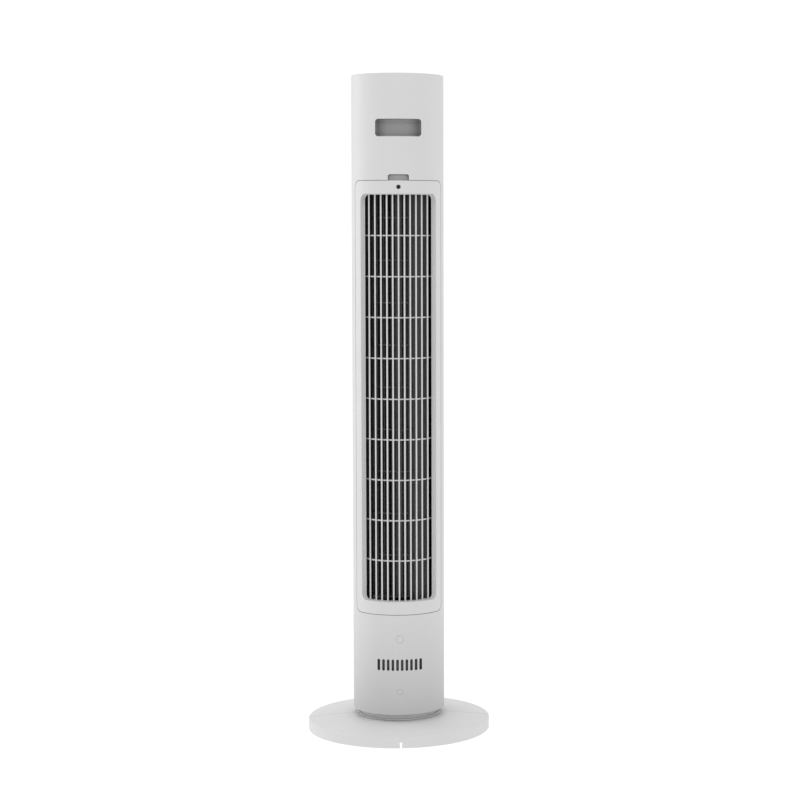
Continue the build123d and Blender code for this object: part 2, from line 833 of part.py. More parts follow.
# ---- air duct -----------------------------------------------------------------------------------------
grommet_circle_r = 52.0
grommet_count = 3
grommet_bore_r = 2.1
with BuildPart() as duct_floor:
    tube(duct_plate_r, duct_bore_r, duct_low, duct_floor_top)
    with Locations((0, tab_face_y, floor_tab_low)):
        Box(
            tab_width,
            tab_depth,
            duct_floor_top - floor_tab_low,
            align=(Align.CENTER, Align.MIN, Align.MIN),
        )
    with BuildSketch(Plane.XZ.offset(tab_inner)):
        with Locations((0, upper_plug_z)):
            Circle(screw_bore_r)
    extrude(amount=-tab_face_y - tab_inner, mode=Mode.SUBTRACT)
    with BuildSketch(Plane.XY.offset(duct_low)):
        with PolarLocations(grommet_circle_r, grommet_count, start_angle=90):
            Circle(grommet_bore_r)
        with Locations(lead_place):
            Circle(lead_hole_r)
    extrude(amount=duct_floor_top - duct_low, mode=Mode.SUBTRACT)
duct_floor.part.label = "duct_floor"
export_step(duct_floor.part, "parts/duct_floor.step")

with BuildPart() as duct_ceiling:
    tube(duct_plate_r, bearing_seat_r, duct_ceiling_bottom, duct_ceiling_top)
    with Locations((0, ceiling_tab_y, duct_ceiling_bottom)):
        Box(14, 5, ceiling_tab_height, align=(Align.CENTER, Align.CENTER, Align.MIN))
    with BuildSketch(Plane.XZ.offset(tab_inner)):
        with Locations((0, screw_z)):
            Circle(screw_bore_r)
    extrude(amount=screw_boss_back - tab_inner, mode=Mode.SUBTRACT)
    with BuildSketch(Plane.XY.offset(duct_ceiling_bottom)):
        with Locations(lead_place):
            Circle(lead_hole_r)
    extrude(amount=duct_ceiling_top - duct_ceiling_bottom, mode=Mode.SUBTRACT)
duct_ceiling.part.label = "duct_ceiling"
export_step(duct_ceiling.part, "parts/duct_ceiling.step")

scroll_edge = (29.5, -38.5)
scroll_exit = (44.5, 53.5)
with BuildPart() as duct_scroll:
    with BuildSketch(Plane.XY.offset(duct_floor_top)):
        with BuildLine() as scroll_line:
            ThreePointArc(scroll_edge, (53.5, 4.0), scroll_exit)
            Line(scroll_edge, (50.5, -30))
        trace(line_width=duct_wall)
    extrude(amount=duct_ceiling_bottom - duct_floor_top)
duct_scroll.part.label = "duct_scroll"
export_step(duct_scroll.part, "parts/duct_scroll.step")

tongue_tip = (-45.0, 18.0)
with BuildPart() as duct_tongue:
    with BuildSketch(Plane.XY.offset(duct_floor_top)):
        with BuildLine() as tongue_line:
            Line((-44.5, 53.5), tongue_tip)
            Line(tongue_tip, (-68, 5))
        trace(line_width=duct_wall)
    extrude(amount=duct_ceiling_bottom - duct_floor_top)
duct_tongue.part.label = "duct_tongue"
export_step(duct_tongue.part, "parts/duct_tongue.step")

# ---- impeller -----------------------------------------------------------------------------------------
with BuildSketch() as blade_profile:
    with BuildLine():
        ThreePointArc((34.5, 0), (40.2, 1.2), (44.0, 5.6))
    trace(line_width=blade_wall)

def blade_section(height):
    """One moulded section of the impeller: a ring with its blades."""
    with BuildPart() as section:
        tube(impeller_r, impeller_bore, 0, disc_thickness)
        with BuildSketch(Plane.XY.offset(disc_thickness)):
            with PolarLocations(0, blade_count):
                add(blade_profile.sketch)
        extrude(amount=height - disc_thickness - weld_gap)
    return section.part


# Equal sections welded end to end, and a shorter one at the top
section_levels = [impeller_low + index * section_height for index in range(section_count + 1)]
full_section = blade_section(section_height)
top_section = blade_section(impeller_high - section_levels[-1])

with BuildPart() as impeller:
    tube(impeller_bore - weld_gap, 15, impeller_low, impeller_low + disc_thickness)
    with Locations([(0, 0, level) for level in section_levels[:-1]]):
        add(full_section)
    with Locations((0, 0, section_levels[-1])):
        add(top_section)
    tube(impeller_r, shaft_r, impeller_high, impeller_high + disc_thickness)
impeller.part.label = "impeller"
export_step(impeller.part, "parts/impeller.step")

hub_barrel_r = 15.0
hub_collar_r = 17.0
hub_low = 226.5
hub_high = 246.0
set_screw_z = 230.0
with BuildPart() as impeller_hub:
    tube(hub_barrel_r, shaft_r, hub_low, hub_high)
    tube(hub_collar_r, hub_barrel_r - 0.1, hub_low, impeller_low)
    with BuildSketch(Plane.XZ):
        with Locations((0, set_screw_z)):
            Circle(screw_bore_r)
    extrude(amount=20, mode=Mode.SUBTRACT)
impeller_hub.part.label = "impeller_hub"
export_step(impeller_hub.part, "parts/impeller_hub.step")

with BuildPart() as hub_set_screw:
    with BuildSketch(Plane.XZ.offset(shaft_r)):
        with Locations((0, set_screw_z)):
            Circle(screw_r)
    extrude(amount=9)
hub_set_screw.part.label = "hub_set_screw"
export_step(hub_set_screw.part, "parts/hub_set_screw.step")

journal_low = 906.0
journal_high = 935.0
with BuildPart() as top_journal:
    with BuildSketch(Plane.XY.offset(journal_low)):
        Circle(shaft_r)
    extrude(amount=journal_high - journal_low)
    with BuildSketch(Plane.XY.offset(journal_low)):
        Circle(11)
    extrude(amount=impeller_high - journal_low)
top_journal.part.label = "top_journal"
export_step(top_journal.part, "parts/top_journal.step")

bush_r = 8.0
bush_top = 932.0
bearing_rubber_top = 930.0
with BuildPart() as bearing_bush:
    tube(bush_r, shaft_r + fit_clearance, duct_ceiling_bottom + 1, bush_top)
bearing_bush.part.label = "bearing_bush"
export_step(bearing_bush.part, "parts/bearing_bush.step")

with BuildPart() as bearing_rubber:
    tube(bearing_seat_r, bush_r, duct_ceiling_bottom, bearing_rubber_top)
    tube(bearing_seat_r + 3, bearing_seat_r - 0.1, duct_ceiling_top, bearing_rubber_top)
bearing_rubber.part.label = "bearing_rubber"
export_step(bearing_rubber.part, "parts/bearing_rubber.step")

# ---- main motor, hung on rubber under the duct floor --------------------------------------------------
motor_r = 42.0
motor_low = 148.0
motor_split = 177.0
motor_high = 205.0
can_wall = 1.6
bracket_top = 207.5
stator_low = 160.0
stator_high = 194.0
coil_height = 8.0
motor_shaft_low = 142.0
motor_shaft_length = 100.0

with BuildPart() as motor_bracket:
    tube(60, 12, motor_high, bracket_top)
    with BuildSketch(Plane.XY.offset(motor_high)):
        with PolarLocations(grommet_circle_r, grommet_count, start_angle=90):
            Circle(grommet_bore_r)
    extrude(amount=bracket_top - motor_high, mode=Mode.SUBTRACT)
motor_bracket.part.label = "motor_bracket"
export_step(motor_bracket.part, "parts/motor_bracket.step")

with BuildPart() as motor_grommets:
    with BuildSketch(Plane.XY.offset(bracket_top)):
        with PolarLocations(grommet_circle_r, grommet_count, start_angle=90):
            Circle(6)
            Circle(grommet_bore_r, mode=Mode.SUBTRACT)
    extrude(amount=duct_low - bracket_top)
motor_grommets.part.label = "motor_grommets"
export_step(motor_grommets.part, "parts/motor_grommets.step")

with BuildPart() as motor_screws:
    with BuildSketch(Plane.XY.offset(motor_high)):
        with PolarLocations(grommet_circle_r, grommet_count, start_angle=90):
            Circle(2.0)
    extrude(amount=duct_floor_top - motor_high)
    with BuildSketch(Plane.XY.offset(motor_high - 2)):
        with PolarLocations(grommet_circle_r, grommet_count, start_angle=90):
            Circle(3.8)
    extrude(amount=2)
motor_screws.part.label = "motor_screws"
export_step(motor_screws.part, "parts/motor_screws.step")

with BuildPart() as motor_can_upper:
    tube(motor_r, motor_r - can_wall, motor_split, motor_high)
    tube(motor_r, 9, motor_high - can_wall, motor_high)
motor_can_upper.part.label = "motor_can_upper"
export_step(motor_can_upper.part, "parts/motor_can_upper.step")

with BuildPart() as motor_can_lower:
    tube(motor_r, motor_r - can_wall, motor_low, motor_split)
    tube(motor_r, 9, motor_low, motor_low + can_wall)
    with BuildSketch(Plane.XY.offset(motor_low)):
        with PolarLocations(28, 8):
            SlotOverall(16, 5)
    extrude(amount=can_wall, mode=Mode.SUBTRACT)
motor_can_lower.part.label = "motor_can_lower"
export_step(motor_can_lower.part, "parts/motor_can_lower.step")

with BuildPart() as motor_stator:
    with BuildSketch(Plane.XY.offset(stator_low)):
        Circle(motor_r - can_wall)
        Circle(22, mode=Mode.SUBTRACT)
        with PolarLocations(28, 12):
            Circle(2.6, mode=Mode.SUBTRACT)
    extrude(amount=stator_high - stator_low)
motor_stator.part.label = "motor_stator"
export_step(motor_stator.part, "parts/motor_stator.step")

with BuildPart() as motor_coils:
    tube(36, 24, stator_low - coil_height, stator_low)
    tube(36, 24, stator_high, stator_high + coil_height)
motor_coils.part.label = "motor_coils"
export_step(motor_coils.part, "parts/motor_coils.step")

with BuildPart() as motor_bearings:
    tube(9, shaft_r + fit_clearance, motor_low - 1, motor_low + 4)
    tube(9, shaft_r + fit_clearance, motor_high - 5, motor_high + 1)
motor_bearings.part.label = "motor_bearings"
export_step(motor_bearings.part, "parts/motor_bearings.step")

with BuildPart() as motor_rotor:
    tube(21.4, shaft_r, stator_low, stator_high)
motor_rotor.part.label = "motor_rotor"
export_step(motor_rotor.part, "parts/motor_rotor.step")

with BuildPart() as motor_shaft:
    with BuildSketch(Plane.XY.offset(motor_shaft_low)):
        Circle(shaft_r)
    extrude(amount=motor_shaft_length)
motor_shaft.part.label = "motor_shaft"
export_step(motor_shaft.part, "parts/motor_shaft.step")

# ---- swing drive: a geared motor that walks round the fixed gear --------------------------------------
bracket_low = 68.5
bracket_high = 70.5
swing_motor_r = 25.0
pinion_shaft_r = 2.5
pinion_place = (-mesh_distance, 0)

with BuildPart() as swing_bracket:
    with BuildSketch(Plane.XY.offset(bracket_low)):
        with Locations((-38, 0)):
            RectangleRounded(54, 56, 4)
        with Locations(pinion_place):
            Circle(5, mode=Mode.SUBTRACT)
    extrude(amount=bracket_high - bracket_low)
    with BuildSketch(Plane.XY.offset(turntable_top)):
        with Locations((-56, -24), (-56, 24)):
            Circle(4)
    extrude(amount=bracket_low - turntable_top)
swing_bracket.part.label = "swing_bracket"
export_step(swing_bracket.part, "parts/swing_bracket.step")

with BuildPart() as swing_motor:
    with BuildSketch(Plane.XY.offset(bracket_high)):
        with Locations(pinion_place):
            Circle(swing_motor_r)
            Circle(pinion_shaft_r + fit_clearance, mode=Mode.SUBTRACT)
    extrude(amount=8)
    with BuildSketch(Plane.XY.offset(bracket_high + 8)):
        with Locations(pinion_place):
            Circle(swing_motor_r)
    extrude(amount=10)
    with BuildSketch(Plane.XY.offset(bracket_high + 4)):
        with Locations((pinion_place[0], 28)):
            Rectangle(16, 10)
    extrude(amount=10)
swing_motor.part.label = "swing_motor"
export_step(swing_motor.part, "parts/swing_motor.step")

with BuildPart() as swing_pinion:
    with BuildSketch(Plane(origin=(*pinion_place, gear_low + 0.3), x_dir=Vector(1, 0, 0).rotate(
            Axis.Z, 180 / pinion_teeth))):
        with BuildLine():
            Polyline(*gear_outline(pinion_teeth), close=True)
        make_face()
    extrude(amount=gear_high - gear_low - 0.6)
    with BuildSketch(Plane.XY.offset(gear_high - 0.5)):
        with Locations(pinion_place):
            Circle(pinion_shaft_r)
    extrude(amount=bracket_high + 6 - gear_high)
swing_pinion.part.label = "swing_pinion"
export_step(swing_pinion.part, "parts/swing_pinion.step")

# ---- electronics --------------------------------------------------------------------------------------
board_y = 50.0
with BuildPart() as power_board:
    with Locations((0, board_y, 100)):
        Box(76, 1.6, 84, align=(Align.CENTER, Align.MIN, Align.MIN))
power_board.part.label = "power_board"
export_step(power_board.part, "parts/power_board.step")

with BuildPart() as power_board_parts:
    with Locations((-20, board_y, 108)):
        Box(22, 18, 20, align=(Align.CENTER, Align.MAX, Align.MIN))
    with Locations((12, board_y, 106)):
        Box(14, 10, 10, align=(Align.CENTER, Align.MAX, Align.MIN))
    with BuildSketch(Plane.XZ.offset(-board_y)):
        with Locations((28, 122), (28, 136)):
            Circle(5)
    extrude(amount=14)
power_board_parts.part.label = "power_board_parts"
export_step(power_board_parts.part, "parts/power_board_parts.step")

# The lead from the power board to the top: up behind the scroll wall, through both duct plates
lead_r = 2.5
with BuildPart() as wire_harness:
    with BuildLine() as lead_path:
        FilletPolyline(
            (30, board_y - lead_r - 0.3, 150),
            (*lead_place, 186),
            (*lead_place, 1060),
            (48, lead_place[1], 1096),
            radius=16,
        )
    with BuildSketch(Plane(origin=lead_path.line @ 0, z_dir=lead_path.line % 0)):
        Circle(lead_r)
    sweep()
wire_harness.part.label = "wire_harness"
export_step(wire_harness.part, "parts/wire_harness.step")

# ---- top panel, its board and its keys ----------------------------------------------------------------
key_places = [((index - 1.5) * key_pitch, key_y) for index in range(len(key_names))]
panel_low_z = panel_top_z - panel_plate
lens_place = (0, -6)
with BuildPart() as top_panel:
    with BuildSketch(Plane.XY.offset(panel_low_z)):
        Circle(shell_inner_r - 0.15)
        with Locations(*key_places):
            Circle(key_hole_r, mode=Mode.SUBTRACT)
        with Locations(lens_place):
            SlotOverall(62, 22, mode=Mode.SUBTRACT)
    extrude(amount=panel_plate)
    with BuildSketch(Plane.XY.offset(board_high)):
        with Locations((-58, -12), (58, -12), (-58, 34), (58, 34)):
            Circle(3.5)
    extrude(amount=panel_low_z - board_high)
top_panel.part.label = "top_panel"
export_step(top_panel.part, "parts/top_panel.step")

with BuildPart() as display_lens:
    with BuildSketch(Plane.XY.offset(panel_low_z)):
        with Locations(lens_place):
            SlotOverall(61.8, 21.8)
    extrude(amount=panel_plate)
display_lens.part.label = "display_lens"
export_step(display_lens.part, "parts/display_lens.step")

with BuildPart() as control_board:
    with BuildSketch(Plane.XY.offset(board_low)):
        with Locations((0, 11)):
            RectangleRounded(126, 56, 4)
    extrude(amount=board_high - board_low)
    with BuildSketch(Plane.XY.offset(board_high)):
        with Locations(lens_place):
            Rectangle(52, 14)
    extrude(amount=6.5)
control_board.part.label = "control_board"
export_step(control_board.part, "parts/control_board.step")

with BuildPart() as tact_switches:
    with BuildSketch(Plane.XY.offset(board_high)):
        with Locations(*key_places):
            RectangleRounded(6, 6, 0.6)
    extrude(amount=3.4)
    with BuildSketch(Plane.XY.offset(board_high + 3.4)):
        with Locations(*key_places):
            Circle(1.7)
    extrude(amount=switch_top - board_high - 3.4)
tact_switches.part.label = "tact_switches"
export_step(tact_switches.part, "parts/tact_switches.step")

for key_name, key_place in zip(key_names, key_places):
    with BuildPart() as key:
        with BuildSketch(Plane.XY.offset(panel_low_z - 1.6)):
            with Locations(key_place):
                Circle(key_flange_r)
        extrude(amount=1.2)
        with BuildSketch(Plane.XY.offset(panel_low_z - 0.4)):
            with Locations(key_place):
                Circle(key_r)
        extrude(amount=key_top - panel_low_z + 0.4)
        fillet(key.edges().filter_by(GeomType.CIRCLE).sort_by(Axis.Z)[-1], 0.5)
        with BuildSketch(Plane.XY.offset(switch_top + key_travel + 0.1)):
            with Locations(key_place):
                Circle(1.5)
        extrude(amount=panel_low_z - 1.6 - switch_top - key_travel - 0.1)
    key.part.label = key_name
    export_step(key.part, f"parts/{key_name}.step")
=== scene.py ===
import bpy
import json
import math
from mathutils import Matrix, Vector


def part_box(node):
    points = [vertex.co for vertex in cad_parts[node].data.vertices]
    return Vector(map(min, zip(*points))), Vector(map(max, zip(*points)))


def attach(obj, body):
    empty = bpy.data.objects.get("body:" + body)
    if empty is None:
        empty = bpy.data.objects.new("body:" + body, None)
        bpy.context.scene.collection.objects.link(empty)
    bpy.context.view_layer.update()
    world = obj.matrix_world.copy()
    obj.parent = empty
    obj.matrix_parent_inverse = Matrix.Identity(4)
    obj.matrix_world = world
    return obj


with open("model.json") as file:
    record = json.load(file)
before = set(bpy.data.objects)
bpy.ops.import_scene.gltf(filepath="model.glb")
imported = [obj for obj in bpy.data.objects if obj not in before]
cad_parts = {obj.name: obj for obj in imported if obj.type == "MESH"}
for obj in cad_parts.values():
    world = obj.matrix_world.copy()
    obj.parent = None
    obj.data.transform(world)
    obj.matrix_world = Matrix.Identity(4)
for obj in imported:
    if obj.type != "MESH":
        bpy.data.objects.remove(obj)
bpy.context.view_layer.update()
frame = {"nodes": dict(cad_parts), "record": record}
nodes = frame["nodes"]
MM = 0.001
WHITE = (0.65, 0.65, 0.65)
WAVE_UNIT = 0.314  # a wave texture of this scale repeats once a metre
AO_SAMPLES = 8


# ---- material tools ------------------------------------------------------------------------------------
def new_material(name, colour, roughness, metallic=0.0, specular=0.5):
    """A material with a Principled shader, and the object coordinates that its patterns follow."""
    made = bpy.data.materials.new(name)
    made.use_nodes = True
    tree = made.node_tree
    shader = tree.nodes["Principled BSDF"]
    shader.inputs["Base Color"].default_value = (*colour, 1)
    shader.inputs["Roughness"].default_value = roughness
    shader.inputs["Metallic"].default_value = metallic
    shader.inputs["Specular IOR Level"].default_value = specular
    made.diffuse_color = (*colour, 1)
    place = tree.nodes.new("ShaderNodeTexCoord")
    return made, tree, shader, place.outputs["Object"]


def noise(tree, place, size, detail=2.0, stretch=None):
    """Noise whose grains are about size metres across."""
    if stretch:
        mapping = tree.nodes.new("ShaderNodeMapping")
        mapping.inputs["Scale"].default_value = stretch
        tree.links.new(place, mapping.inputs["Vector"])
        place = mapping.outputs["Vector"]
    made = tree.nodes.new("ShaderNodeTexNoise")
    made.inputs["Scale"].default_value = 1 / size
    made.inputs["Detail"].default_value = detail
    tree.links.new(place, made.inputs["Vector"])
    return made.outputs["Fac"]


def spread(tree, value, low, high, start=0.3, end=0.7):
    """Maps a pattern onto the range from low to high."""
    made = tree.nodes.new("ShaderNodeMapRange")
    made.inputs["From Min"].default_value = start
    made.inputs["From Max"].default_value = end
    made.inputs["To Min"].default_value = low
    made.inputs["To Max"].default_value = high
    tree.links.new(value, made.inputs["Value"])
    return made.outputs["Result"]


def tint(tree, shader, value, dark, light):
    """Colours the surface between two colours by a pattern."""
    ramp = tree.nodes.new("ShaderNodeValToRGB")
    ramp.color_ramp.elements[0].position = 0.3
    ramp.color_ramp.elements[1].position = 0.7
    ramp.color_ramp.elements[0].color = (*dark, 1)
    ramp.color_ramp.elements[1].color = (*light, 1)
    tree.links.new(value, ramp.inputs["Fac"])
    tree.links.new(ramp.outputs["Color"], shader.inputs["Base Color"])


def bump(tree, shader, value, height, strength=1.0):
    """Raises the surface by a pattern, by at most height metres."""
    made = tree.nodes.new("ShaderNodeBump")
    made.inputs["Strength"].default_value = strength
    made.inputs["Distance"].default_value = height
    tree.links.new(value, made.inputs["Height"])
    tree.links.new(made.outputs["Normal"], shader.inputs["Normal"])


def scaled(colour, factor):
    """A colour factor times as light, at most white."""
    return tuple(min(1.0, channel * factor) for channel in colour)


def wave(tree, place, size, kind="BANDS", direction="Z", distortion=0.0):
    """Parallel lines or rings about size metres apart, as a value from 0 to 1."""
    made = tree.nodes.new("ShaderNodeTexWave")
    made.wave_type = kind
    if kind == "RINGS":
        made.rings_direction = direction
    else:
        made.bands_direction = direction
    made.inputs["Scale"].default_value = WAVE_UNIT / size
    made.inputs["Distortion"].default_value = distortion
    tree.links.new(place, made.inputs["Vector"])
    return made.outputs["Fac"]


def cells(tree, place, size, feature="F1", output="Distance"):
    """Cells about size metres across."""
    made = tree.nodes.new("ShaderNodeTexVoronoi")
    made.feature = feature
    made.inputs["Scale"].default_value = 1 / size
    tree.links.new(place, made.inputs["Vector"])
    return made.outputs[output]


def combine(tree, first, second, operation):
    """One value from two patterns, by a Math node's operation."""
    made = tree.nodes.new("ShaderNodeMath")
    made.operation = operation
    tree.links.new(first, made.inputs[0])
    tree.links.new(second, made.inputs[1])
    return made.outputs["Value"]


def painted_crevice_shade(tree, shader, reach, darkest, closed_at, open_at):
    """Painted shade: darkens the base colour by an ambient occlusion node where other surfaces within
    reach metres hem it in, in place of the light that does not reach there.
    """
    hidden = tree.nodes.new("ShaderNodeAmbientOcclusion")
    hidden.samples = AO_SAMPLES
    hidden.inputs["Distance"].default_value = reach
    shade = spread(tree, hidden.outputs["AO"], darkest, 1.0, closed_at, open_at)
    mix = tree.nodes.new("ShaderNodeMix")
    mix.data_type = "RGBA"
    mix.blend_type = "MULTIPLY"
    mix.inputs["Factor"].default_value = 1.0
    tree.links.new(shader.inputs["Base Color"].links[0].from_socket, mix.inputs["A"])
    tree.links.new(shade, mix.inputs["B"])
    tree.links.new(mix.outputs["Result"], shader.inputs["Base Color"])


# ---- materials -----------------------------------------------------------------------------------------
def moulded(name, colour, roughness, grain, depth, specular=0.5, drift=0.02, painted_shade=None):
    """Moulded plastic: a fine spark-eroded grain, with slow changes of shade and sheen."""
    made, tree, shader, place = new_material(name, colour, roughness, specular=specular)
    slow = noise(tree, place, 0.09, 1.0)
    tint(tree, shader, slow, scaled(colour, 1 - drift), scaled(colour, 1 + drift))
    # Painted shade: hemmed-in corners darkened by ambient occlusion
    if painted_shade:
        painted_crevice_shade(tree, shader, *painted_shade)
    fine = noise(tree, place, grain, 3.0)
    patches = noise(tree, place, 0.03, 2.0)
    sheen = combine(tree, fine, patches, "ADD")
    tree.links.new(spread(tree, sheen, roughness - 0.07, roughness + 0.07, 0.7, 1.3),
                   shader.inputs["Roughness"])
    bump(tree, shader, fine, depth)
    return made


def white_cover(name, shade, painted_shade=None):
    """The white plastic of the covers. Shade makes it lighter or darker, and the last argument, as in the
    crevice function, paints shade into its hemmed-in corners.
    """
    return moulded(name, scaled(WHITE, shade), 0.52, 0.45 * MM, 0.02 * MM, drift=0.008, painted_shade=painted_shade)


def sheet_metal(name, colour, roughness, stretch, grain=0.4 * MM, spangle=4 * MM):
    """Plated or ground metal: fine drawn lines along stretch, over faint crystals of the plating."""
    made, tree, shader, place = new_material(name, colour, roughness, metallic=1.0)
    lines = noise(tree, place, grain, 3.0, stretch)
    crystals = cells(tree, place, spangle, output="Color")
    mixed = combine(tree, lines, crystals, "ADD")
    shade = spread(tree, mixed, 0.0, 1.0, 0.55, 1.45)
    tint(tree, shader, shade, scaled(colour, 0.82), scaled(colour, 1.12))
    tree.links.new(spread(tree, lines, roughness - 0.08, roughness + 0.12), shader.inputs["Roughness"])
    bump(tree, shader, lines, 0.01 * MM, 0.6)
    return made


def rubber(name, colour, grain):
    """Matte rubber with a dusty bloom and a coarse moulded skin."""
    made, tree, shader, place = new_material(name, colour, 0.8, specular=0.3)
    bloom = noise(tree, place, 6 * MM, 4.0)
    tint(tree, shader, bloom, scaled(colour, 0.8), scaled(colour, 1.5))
    skin = noise(tree, place, grain, 2.0)
    tree.links.new(spread(tree, bloom, 0.7, 0.92), shader.inputs["Roughness"])
    bump(tree, shader, skin, 0.04 * MM)
    return made


def winding(name, colour):
    """Enamelled copper wire, wound round the upright axis."""
    made, tree, shader, place = new_material(name, colour, 0.3, metallic=0.85)
    turns = combine(
        tree,
        wave(tree, place, 0.8 * MM, "RINGS", "Z", 1.0),
        wave(tree, place, 0.8 * MM, "BANDS", "Z", 1.0),
        "MAXIMUM",
    )
    tint(tree, shader, turns, scaled(colour, 0.35), scaled(colour, 1.15))
    tree.links.new(spread(tree, noise(tree, place, 3 * MM), 0.22, 0.42), shader.inputs["Roughness"])
    bump(tree, shader, turns, 0.3 * MM)
    return made


def solder_mask(name, colour):
    """Printed circuit board: green varnish over tracks that stand a little proud."""
    made, tree, shader, place = new_material(name, colour, 0.3, specular=0.6)
    edge = cells(tree, place, 4 * MM, "DISTANCE_TO_EDGE")
    track = spread(tree, edge, 1.0, 0.0, 0.05, 0.14)
    tint(tree, shader, track, colour, scaled(colour, 1.9))
    tree.links.new(spread(tree, noise(tree, place, 2 * MM), 0.24, 0.4), shader.inputs["Roughness"])
    bump(tree, shader, track, 0.05 * MM)
    return made


def braid(name, colour):
    """Woven sleeve over a bundle of wires."""
    made, tree, shader, place = new_material(name, colour, 0.6, specular=0.4)
    crossed = combine(
        tree,
        wave(tree, place, 1.6 * MM, "BANDS", "DIAGONAL"),
        wave(tree, place, 1.1 * MM, "BANDS", "Z", 2.0),
        "MULTIPLY",
    )
    tint(tree, shader, crossed, scaled(colour, 0.5), scaled(colour, 1.6))
    tree.links.new(spread(tree, crossed, 0.7, 0.5, 0.0, 1.0), shader.inputs["Roughness"])
    bump(tree, shader, crossed, 0.15 * MM)
    return made


def smoked(name, colour):
    """Smoked clear plastic: polished, with the faintest hairline scratches."""
    made, tree, shader, place = new_material(name, colour, 0.06)
    shader.inputs["Transmission Weight"].default_value = 0.92
    shader.inputs["IOR"].default_value = 1.49
    haze = noise(tree, place, 12 * MM, 2.0)
    tint(tree, shader, haze, scaled(colour, 0.85), scaled(colour, 1.15))
    hairs = noise(tree, place, 0.3 * MM, 2.0, (1, 14, 1))
    tree.links.new(spread(tree, hairs, 0.04, 0.12, 0.35, 0.75), shader.inputs["Roughness"])
    bump(tree, shader, hairs, 0.002 * MM, 0.3)
    return made


def light_pipe(name, colour, strength):
    """Milky segment of a display, faintly lit from behind."""
    made, tree, shader, place = new_material(name, colour, 0.4)
    cloud = noise(tree, place, 1.5 * MM, 2.0)
    tint(tree, shader, cloud, scaled(colour, 0.8), colour)
    shader.inputs["Emission Color"].default_value = (*colour, 1)
    shader.inputs["Emission Strength"].default_value = strength
    tree.links.new(spread(tree, cloud, 0.3, 0.5), shader.inputs["Roughness"])
    return made


finishes = {
    "white_shell": white_cover("white_shell", 1),
    "key_plastic": moulded("key_plastic", scaled(WHITE, 1.04), 0.34, 0.7 * MM, 0.006 * MM, drift=0.01),
    "grey_plastic": moulded("grey_plastic", (0.12, 0.12, 0.124), 0.55, 0.6 * MM, 0.03 * MM),
    "dark_duct": moulded("dark_duct", (0.045, 0.045, 0.047), 0.55, 0.6 * MM, 0.02 * MM),
    "dark_impeller": moulded("dark_impeller", (0.065, 0.065, 0.067), 0.45, 0.8 * MM, 0.01 * MM),
    "bearing_plastic": moulded("bearing_plastic", (0.62, 0.61, 0.56), 0.4, 1.2 * MM, 0.008 * MM),
    "board_part": moulded("board_part", (0.03, 0.03, 0.031), 0.5, 0.5 * MM, 0.02 * MM),
    "ballast_steel": sheet_metal("ballast_steel", (0.5, 0.5, 0.51), 0.42, (1, 6, 6)),
    "screw_steel": sheet_metal("screw_steel", (0.05, 0.05, 0.051), 0.45, (1, 1, 3), 0.2 * MM, 1.5 * MM),
    "shaft_steel": sheet_metal("shaft_steel", (0.62, 0.62, 0.63), 0.22, (1, 1, 14), 0.3 * MM),
    "motor_can": sheet_metal("motor_can", (0.42, 0.42, 0.43), 0.35, (5, 5, 1)),
    "bronze_bush": sheet_metal("bronze_bush", (0.5, 0.36, 0.2), 0.45, (1, 1, 1), 0.25 * MM, 0.6 * MM),
    "soft_rubber": rubber("soft_rubber", (0.035, 0.035, 0.036), 0.5 * MM),
    "copper_winding": winding("copper_winding", (0.62, 0.26, 0.12)),
    "circuit_board": solder_mask("circuit_board", (0.02, 0.13, 0.05)),
    "wire_cover": braid("wire_cover", (0.03, 0.03, 0.03)),
    "smoked_lens": smoked("smoked_lens", (0.2, 0.2, 0.21)),
}
# Copies of the white plastic with painted light and shade: ambient occlusion paints shade on the lower
# column, the neck, the handle cup and the pull pocket; the cup and pocket copies are darker overall as
# painted shade, and the base copy is lighter as painted light on its top
white_column_painted_shade = white_cover("white_column_painted_shade", 1, (0.25, 0.42, 0.0, 1.0))
white_cup_painted_shade = white_cover("white_cup_painted_shade", 0.74, (0.022, 0.12, 0.2, 0.75))
white_neck_painted_shade = white_cover("white_neck_painted_shade", 1, (0.1, 0.9, 0.0, 1.0))
white_pocket_painted_shade = white_cover("white_pocket_painted_shade", 0.92, (0.006, 0.35, 0.3, 0.8))
white_base_painted_light = white_cover("white_base_painted_light", 1.03)
grey_guard = moulded("grey_guard", (0.13, 0.13, 0.13), 0.55, 0.6 * MM, 0.02 * MM)
ink = moulded("ink", (0.16, 0.16, 0.165), 0.45, 0.3 * MM, 0.004 * MM)
segment = light_pipe("segment", (0.62, 0.72, 0.78), 2.4)

for part in frame["record"]["subparts"]:
    skin = nodes[part["node"]].data.materials
    skin.clear()
    skin.append(finishes[part["material_slot"]])
own_finishes = {
    "rear_shell": white_column_painted_shade,
    "front_shell": white_column_painted_shade,
    "screw_plugs": white_column_painted_shade,
    "base_cover_rear": white_base_painted_light,
    "base_cover_front": white_base_painted_light,
    "handle_cup": white_cup_painted_shade,
    "pull_pocket": white_pocket_painted_shade,
    "vent_guard": grey_guard,
    "neck_collar": white_neck_painted_shade,
}
for name, finish in own_finishes.items():
    nodes[name].data.materials[0] = finish


# ---- printed marks and the display ---------------------------------------------------------------------
def piece(name, points, faces, material, body):
    """A mesh piece that rides on a CAD body. Points are in metres."""
    mesh = bpy.data.meshes.new(name)
    mesh.from_pydata(points, [], faces)
    mesh.validate()
    mesh.materials.append(material)
    made = bpy.data.objects.new(name, mesh)
    bpy.context.scene.collection.objects.link(made)
    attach(made, body)
    return made


